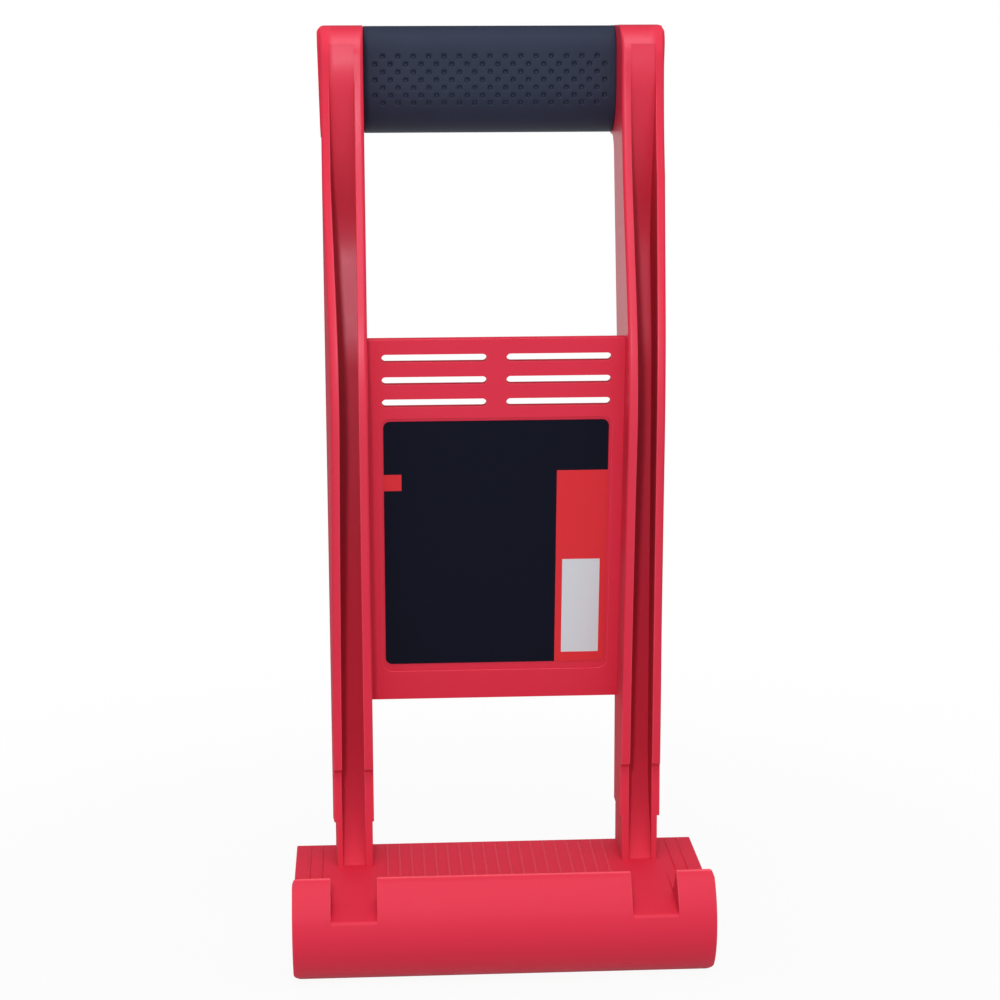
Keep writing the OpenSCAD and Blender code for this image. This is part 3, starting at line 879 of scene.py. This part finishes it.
class Sleeve(Maker):
    """Geometry tree that lays dimpled and plain strips on a flat sheet and wraps it round the section."""

    SOCKETS = (
        ("Section", "NodeSocketGeometry"),
        ("Tile", "NodeSocketObject"),
        ("Finish", "NodeSocketMaterial"),
        ("Length", "NodeSocketFloat"),
        ("Columns", "NodeSocketInt"),
        ("Rows", "NodeSocketInt"),
        ("Row pitch", "NodeSocketFloat"),
        ("Girth", "NodeSocketFloat"),
        ("Front start", "NodeSocketFloat"),
        ("Rear start", "NodeSocketFloat"),
    )

    def __init__(self, name):
        super().__init__(bpy.data.node_groups.new(name, "GeometryNodeTree"))
        for label, kind in self.SOCKETS:
            self.tree.interface.new_socket(label, in_out="INPUT", socket_type=kind)
        self.tree.interface.new_socket("Sleeve", in_out="OUTPUT", socket_type="NodeSocketGeometry")
        self.given = self.node("NodeGroupInput")
        self.pitch = self.input("Length") / self.input("Columns")
        self.row = self.input("Row pitch")
        self.band = self.row * self.input("Rows")
        self.build()

    def input(self, label):
        return self.given.part(label)

    def grid(self, width, height, across, along):
        sizes = {"Size X": width, "Size Y": height, "Vertices X": across, "Vertices Y": along}
        return self.node("GeometryNodeMeshGrid", inputs=sizes)

    def moved(self, geometry, along):
        offset = self.node("ShaderNodeCombineXYZ", inputs={"Y": along})
        return self.node("GeometryNodeTransform", inputs={"Geometry": geometry, "Translation": offset})

    def plain_strip(self, start, end):
        """Smooth stretch of the sheet between two places along the girth."""
        length = end - start
        rows = (length / (SMOOTH_ROW_MM * MM)).whole() + 1
        sheet = self.grid(self.input("Length"), length, self.input("Columns") + 1, rows)
        return self.moved(sheet, start + length * 0.5)

    def laid(self, places, mask, shape):
        """One instance of a shape on each place that the mask picks."""
        inputs = {"Points": places, "Selection": mask, "Instance": shape}
        return self.node("GeometryNodeInstanceOnPoints", inputs=inputs)

    def dimple_strip(self, start):
        """Rows of tiles, dimpled in every other place of a chequerboard and plain between and at the ends."""
        columns = self.input("Columns")
        rows = self.input("Rows")
        places = self.grid(self.pitch * (columns - 1), self.row * (rows - 1), columns, rows)
        x, y, _ = self.xyz(self.node("GeometryNodeInputPosition"))
        column = (x / self.pitch).whole()
        row = (y / self.row + (rows - 1) * 0.5).whole()
        dimpled = ((column + row).remainder(2) < 0.5) * (abs(column) < (columns - 1) * 0.5 - 0.5)
        tile = self.node("GeometryNodeObjectInfo", inputs={"Object": self.input("Tile")}).part("Geometry")
        blank = self.grid(self.pitch, self.row, 2, 2)
        tiles = self.joined(self.laid(places, dimpled, tile), self.laid(places, 1 - dimpled, blank))
        return self.moved(self.realized(tiles), start + self.band * 0.5)

    def joined(self, *parts):
        join = self.node("GeometryNodeJoinGeometry")
        for part in parts:
            self.tree.links.new(part.socket, join.socket.node.inputs[0])
        return join

    def realized(self, geometry):
        return self.node("GeometryNodeRealizeInstances", inputs={0: geometry})

    def welded(self, geometry):
        inputs = {"Geometry": geometry, "Distance": SLEEVE_WELD_MM * MM}
        return self.node("GeometryNodeMergeByDistance", inputs=inputs)

    def wrapped(self, sheet):
        """Carries the flat sheet onto the section: X stays, Y runs along the girth, Z stands off it."""
        x, along, height = self.xyz(self.node("GeometryNodeInputPosition"))
        sample = {"Curves": self.input("Section"), "Length": along}
        spot = self.node("GeometryNodeSampleCurve", {"mode": "LENGTH"}, sample)
        outward = self.vector("CROSS_PRODUCT", spot.part("Tangent"), (1, 0, 0))
        heights = self.node("ShaderNodeCombineXYZ", inputs={"X": height, "Y": height, "Z": height})
        _, y, z = self.xyz(self.vector("MULTIPLY_ADD", outward, heights, spot.part("Position")))
        place = self.node("ShaderNodeCombineXYZ", inputs={"X": x, "Y": y, "Z": z})
        return self.node("GeometryNodeSetPosition", inputs={"Geometry": sheet, "Position": place})

    def build(self):
        front = self.input("Front start")
        rear = self.input("Rear start")
        strips = [
            self.plain_strip(0, front),
            self.dimple_strip(front),
            self.plain_strip(front + self.band, rear),
            self.dimple_strip(rear),
            self.plain_strip(rear + self.band, self.input("Girth")),
        ]
        sleeve = self.realized(self.welded(self.wrapped(self.welded(self.joined(*strips)))))
        finished = {"Geometry": sleeve, "Material": self.input("Finish")}
        output = self.tree.nodes.new("NodeGroupOutput")
        self.feed(output.inputs[0], self.node("GeometryNodeSetMaterial", inputs=finished))


def girth_of(points):
    closed = points + points[:1]
    return sum((b - a).length for a, b in zip(closed, closed[1:]))


def sleeve_mesh(soft):
    """Runs the geometry tree on the grip's section and returns the plain mesh."""
    low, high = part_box("grip")
    points = grip_section()
    girth = girth_of(points)
    band = GRIP_ROWS * ROW_PITCH_MM * MM
    corner_saves = GRIP_TOP_R_MM * MM * (2 - math.pi / 2)
    front = (high.y - low.y) / 2 + FRONT_ROWS_DROP_MM * MM - corner_saves
    curve = section_curve(points)
    tile = dimple_tile((high.x - low.x) / GRIP_COLUMNS, ROW_PITCH_MM * MM)
    tree = Sleeve("dimpled_sleeve").tree
    modifier = curve.modifiers.new("sleeve", "NODES")
    modifier.node_group = tree
    values = {
        "Tile": tile,
        "Finish": soft,
        "Length": high.x - low.x,
        "Columns": GRIP_COLUMNS,
        "Rows": GRIP_ROWS,
        "Row pitch": ROW_PITCH_MM * MM,
        "Girth": girth,
        "Front start": front,
        "Rear start": girth - front - band,
    }
    for item in tree.interface.items_tree:
        if item.in_out == "INPUT" and item.name in values:
            modifier[item.identifier] = values[item.name]
    mesh = evaluated_mesh(curve)
    for helper in (curve, tile):
        bpy.data.objects.remove(helper)
    return mesh


def open_ring(bm, end):
    """Edges of the sleeve's open end on that plane across X."""
    return [e for e in bm.edges if e.is_boundary and all(abs(v.co.x - end) < WELD_MM * MM for v in e.verts)]


def close_sleeve(bm):
    """Folds both ends in by the wall, joins them with a plain bore and rounds the rims."""
    low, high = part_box("grip")
    middle = (low + high) / 2
    half = (high - low) / 2
    wall = GRIP_WALL_MM * MM
    outer, inner = [], []
    for end in (low.x, high.x):
        outer += open_ring(bm, end)
        bmesh.ops.extrude_edge_only(bm, edges=open_ring(bm, end))
        fold = open_ring(bm, end)
        for vert in {v for e in fold for v in e.verts}:
            vert.co.y = middle.y + (vert.co.y - middle.y) * (1 - wall / half.y)
            vert.co.z = middle.z + (vert.co.z - middle.z) * (1 - wall / half.z)
        inner += fold
    bmesh.ops.bridge_loops(bm, edges=inner)
    bmesh.ops.bevel(bm, geom=outer, offset=GRIP_RIM_MM * MM, segments=EDGE_STEPS, profile=0.5, affect="EDGES")


def make_grip(soft):
    mesh = sleeve_mesh(soft)
    bm = bmesh.new()
    bm.from_mesh(mesh)
    close_sleeve(bm)
    bmesh.ops.recalc_face_normals(bm, faces=bm.faces)
    shade_smooth(bm, RIM_SHARP_DEG)
    bm.to_mesh(mesh)
    bm.free()
    return shown("grip_sleeve", mesh, "grip", soft)


def dress_label():
    """The label keeps its CAD film and gets its print."""
    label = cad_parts["label"]
    tilt = math.radians(PANEL_TILT_DEG)
    top = max(v.co.z * math.cos(tilt) - v.co.y * math.sin(tilt) for v in label.data.vertices)
    painted(label, printed_film("label_print", top))


def dress_bar(red):
    """The bar is hidden in the grip and keeps its CAD shape."""
    painted(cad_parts["handle_bar"], red)


def make_camera():
    data = bpy.data.cameras.new("camera")
    data.sensor_width = SENSOR_W_MM
    data.lens = FOCAL_PX * SENSOR_W_MM / PICTURE_PX
    data.clip_start = CLIP_START_MM * MM
    camera = placed("camera", data)
    camera.location = Vector(CAMERA_PLACE_MM) * MM
    camera.rotation_euler = Euler([math.radians(a) for a in CAMERA_TURN_DEG])
    bpy.context.scene.camera = camera


def sees_white(maker):
    """1 for rays that show the background as it is: the camera's, and those that gloss or glass sends on."""
    path = maker.node("ShaderNodeLightPath", out="Is Camera Ray")
    return (path + path.part("Is Glossy Ray") + path.part("Is Transmission Ray")).least(1)


def make_floor():
    """Pale floor, brighter to the camera, that fades into the white background away from the object."""
    bm = bmesh.new()
    bmesh.ops.create_circle(bm, cap_ends=True, radius=FLOOR_R, segments=FLOOR_SIDES)
    floor = placed("floor", mesh_of(bm, "floor"))
    finish = Finish("floor_white", Base_Color=(*FLOOR_WHITE, 1), Roughness=0.9, Specular_IOR_Level=0.1)
    fade = finish.step(finish.vector("LENGTH", finish.place, out="Value"), *FLOOR_FADE)
    share = sees_white(finish) * (FLOOR_GLOW + fade * (1 - FLOOR_GLOW))
    matt = Wire(finish, finish.shader.outputs[0])
    glow = finish.node("ShaderNodeEmission", inputs={"Color": (1, 1, 1, 1), "Strength": 1.0})
    mixed = finish.node("ShaderNodeMixShader", inputs={0: share, 1: matt, 2: glow})
    finish.feed(finish.tree.nodes["Material Output"].inputs["Surface"], mixed)
    painted(floor, finish.material)


def make_world():
    """White to the camera, white with a grey ceiling to gloss, and a soft even light on everything else."""
    world = bpy.data.worlds.new("studio")
    world.use_nodes = True
    bpy.context.scene.world = world
    maker = Maker(world.node_tree)
    background = maker.tree.nodes["Background"]
    rise = maker.xyz(maker.node("ShaderNodeTexCoord").part("Object"))[2]
    ceiling = maker.step(rise, *CEILING_RISE, low=1.0, high=CEILING)
    white = maker.node("ShaderNodeLightPath", out="Is Camera Ray").most(ceiling)
    maker.feed(background.inputs["Strength"], AMBIENT + sees_white(maker) * (white - AMBIENT))
    background.inputs["Color"].default_value = (1, 1, 1, 1)


def make_lights():
    middle = (cad_box[0] + cad_box[1]) / 2
    for name, turn, rise, distance, size, power in LIGHTS:
        data = bpy.data.lights.new(name, "AREA")
        data.size = size
        data.energy = power
        side, climb = math.radians(turn), math.radians(rise)
        away = Vector((-math.sin(side) * math.cos(climb), -math.cos(side) * math.cos(climb), math.sin(climb)))
        lamp = placed(name, data)
        lamp.location = middle + away * distance
        lamp.rotation_euler = away.to_track_quat("Z", "Y").to_euler()


bpy.context.scene.view_settings.view_transform = "Standard"
make_camera()
make_world()
make_lights()
make_floor()
upright_red = moulded_red("upright_red", gloss=0.5, roughness=0.32, dulled=0.40)
make_upright("left_upright", upright_red)
make_upright("right_upright", upright_red)
make_panel(moulded_red("panel_red", gloss=0.4, roughness=0.42))
make_tray(moulded_red("tray_red", gloss=0.35, roughness=0.5, highlights=painted_crest_and_bead_highlights))
make_grip(soft_black("soft_grip"))
dress_bar(upright_red)
dress_label()
